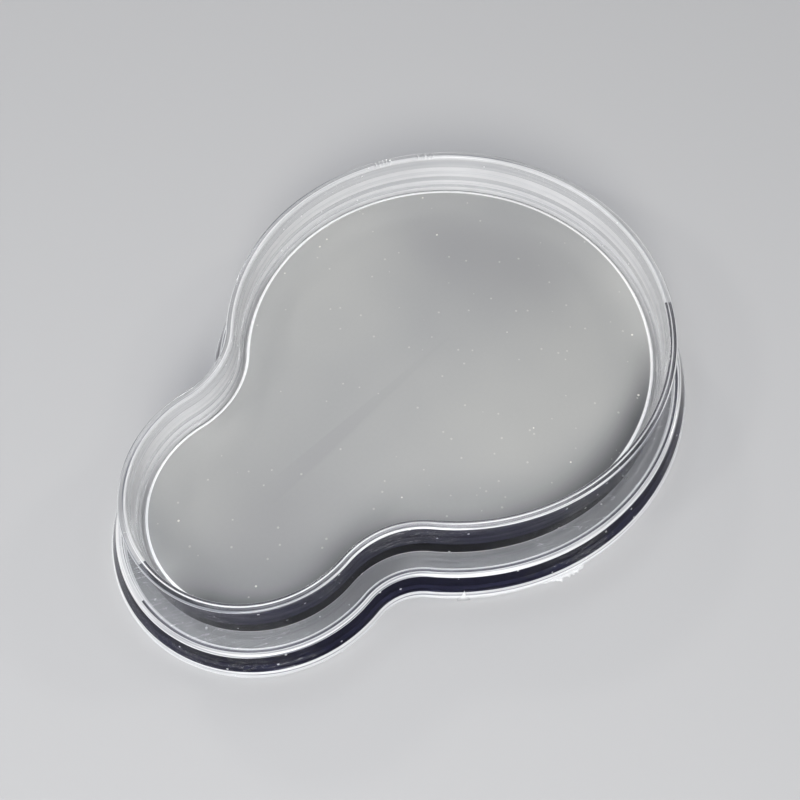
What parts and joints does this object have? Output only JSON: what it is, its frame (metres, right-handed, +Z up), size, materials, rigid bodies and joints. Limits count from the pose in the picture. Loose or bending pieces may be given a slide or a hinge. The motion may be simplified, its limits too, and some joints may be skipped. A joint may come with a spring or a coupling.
{
  "type": "wet palette",
  "caption": "Shallow clear moulded palette box with a gourd outline, a pad and a grey palette sheet in its open dish, which stands on its own wider lid.",
  "frame": {"origin": "on the surface that the palette stands on, under the middle of the lid's box", "axes": "+X along the palette's length towards its big lobe, +Y across it, +Z up out of the open dish"},
  "size_m": [0.1186, 0.0912, 0.0181],
  "materials": {
    "clear_plastic": "clear, glossy",
    "grey_sponge": "matt, damp",
    "grey_membrane": "smooth, satin"
  },
  "bodies": {
    "lid": {"lid": "clear_plastic"},
    "dish": {"dish": "clear_plastic"},
    "pad": {"hydration_pad": "grey_sponge"},
    "sheet": {"palette_sheet": "grey_membrane"}
  },
  "joints": [
    {"name": "dish_lift", "type": "slide", "parent": "lid", "child": "dish", "axis": [0, 0, 1], "range_m": [0, 0.04]},
    {"name": "pad_lift", "type": "slide", "parent": "dish", "child": "pad", "axis": [0, 0, 1], "range_m": [0, 0.03]},
    {"name": "sheet_lift", "type": "slide", "parent": "pad", "child": "sheet", "axis": [0, 0, 1], "range_m": [0, 0.025]}
  ]
}
